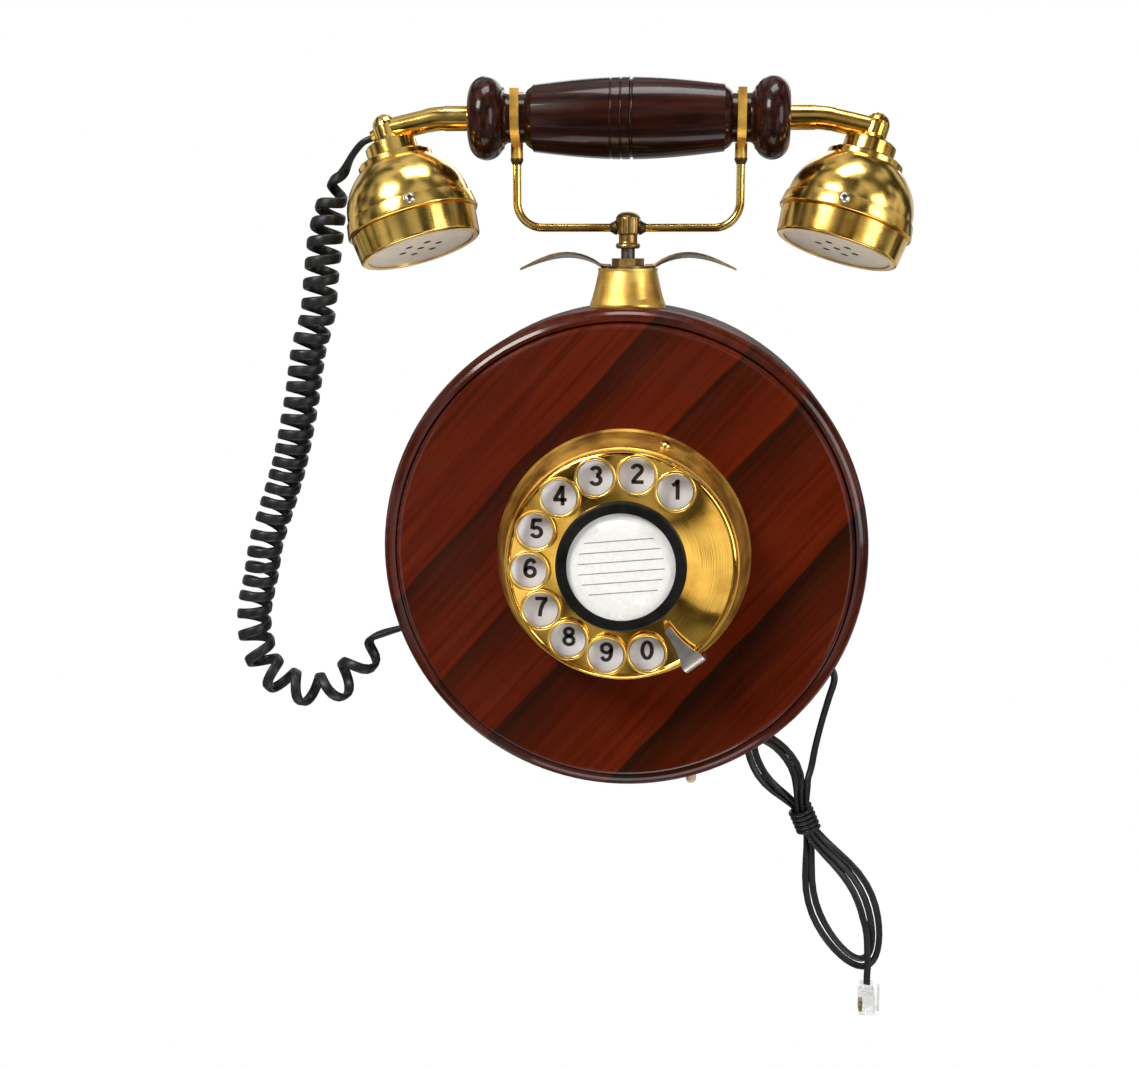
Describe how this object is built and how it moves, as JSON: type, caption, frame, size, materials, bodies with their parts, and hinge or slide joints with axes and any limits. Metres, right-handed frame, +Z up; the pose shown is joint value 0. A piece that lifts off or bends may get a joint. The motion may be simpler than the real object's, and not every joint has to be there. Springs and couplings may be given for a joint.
{
  "type": "telephone",
  "caption": "Rotary wall telephone: a round lacquered wood case with a brass dial, a sprung brass cradle, a wood and brass handset on a curly cord, and a tied line cord with a clear plug",
  "frame": {"origin": "centre of the case's back, on the wall", "axes": "+X to the right as seen from the front, +Y into the wall, +Z up"},
  "size_m": [0.2753, 0.0848, 0.3909],
  "materials": {
    "case_wood": "lacquered",
    "cover_wood": "satin",
    "grip_wood": "lacquered",
    "polished_brass": "polished",
    "inner_brass": "machined",
    "steel": "satin",
    "dark_steel": "satin",
    "number_enamel": "gloss",
    "card_paper": "matte",
    "card_clear": "clear",
    "black_plastic": "gloss",
    "capsule_metal": "satin",
    "white_plastic": "gloss",
    "cream_plastic": "gloss",
    "board_green": "satin",
    "cord_black": "satin",
    "plug_clear": "clear"
  },
  "bodies": {
    "case": {"case_shell": "case_wood", "rear_cover": "cover_wood", "cover_screws": "steel", "hanger_plate": "steel", "hanger_screws": "steel", "dial_cup": "polished_brass", "dial_cup_screw": "steel", "number_plate": "number_enamel", "finger_stop": "steel", "dial_front_plate": "steel", "dial_fix_screws": "steel", "dial_rear_bridge": "steel", "bridge_screws": "steel", "dial_mainspring": "steel", "pulse_contacts": "inner_brass", "governor_cup": "inner_brass", "cradle_cone": "polished_brass", "leaf_wings": "polished_brass", "cradle_nut": "polished_brass", "plunger_bush": "inner_brass", "bush_locknut": "inner_brass", "hook_switch_bracket": "steel", "hook_switch_contacts": "inner_brass", "hook_spring": "steel", "ringer_switch": "black_plastic", "circuit_board": "board_green", "ringer_sounder": "black_plastic", "cord_grommets": "cord_black", "handset_cord": "cord_black", "line_cord": "cord_black", "line_cord_hank": "cord_black", "cord_tie": "cord_black", "line_plug": "plug_clear"},
    "dial": {"finger_wheel": "polished_brass", "card_ring": "black_plastic", "dial_card": "card_paper", "card_window": "card_clear", "dial_shaft": "steel", "main_gear": "inner_brass"},
    "pulse": {"pulse_gear": "inner_brass", "pulse_shaft": "steel", "pulse_cam": "black_plastic", "governor_wheel": "inner_brass"},
    "governor": {"governor_shaft": "steel", "governor_weights": "inner_brass"},
    "hook": {"plunger_rod": "dark_steel", "cradle_thimble": "polished_brass", "fork_rod": "polished_brass", "saddles": "polished_brass"},
    "handset": {"grip": "grip_wood", "arm_left": "polished_brass", "arm_right": "polished_brass", "bell_left": "polished_brass", "bell_right": "polished_brass", "bell_caps": "polished_brass", "grilles": "white_plastic", "receiver_capsule": "capsule_metal", "transmitter_capsule": "black_plastic", "bell_screws": "steel"},
    "button": {"ringer_button": "cream_plastic"}
  },
  "joints": [
    {"name": "dial_turn", "type": "hinge", "parent": "case", "child": "dial", "pos_m": [0, -0.07, 0], "axis": [0, 1, 0], "range_deg": [0, 330], "stiffness_Nm_per_rad": 0.02, "springref_deg": -45.84, "deforming": ["dial_mainspring"]},
    {"name": "pulse_turn", "type": "hinge", "parent": "case", "child": "pulse", "pos_m": [-0.02359, -0.05, -0.01652], "axis": [0, 1, 0], "range_deg": [-1160, 5]},
    {"name": "governor_turn", "type": "hinge", "parent": "case", "child": "governor", "pos_m": [-0.01671, -0.045, -0.02635], "axis": [0, 1, 0], "range_deg": [-5, 3470]},
    {"name": "hook_lift", "type": "slide", "parent": "case", "child": "hook", "axis": [0, 0, 1], "range_m": [0, 0.006], "stiffness_N_per_m": 167, "springref_m": 0.012, "deforming": ["hook_spring", "handset_cord"]},
    {"name": "handset_lift", "type": "slide", "parent": "hook", "child": "handset", "axis": [0, 0, 1], "range_m": [0, 0.06], "deforming": ["handset_cord"]},
    {"name": "ringer_push", "type": "slide", "parent": "case", "child": "button", "axis": [0, 0, 1], "range_m": [0, 0.003], "stiffness_N_per_m": 200, "springref_m": -0.002}
  ],
  "couplings": [
    {"joint": "pulse_turn", "follows": "dial_turn", "ratio": -3.5},
    {"joint": "governor_turn", "follows": "dial_turn", "ratio": 10.5}
  ]
}
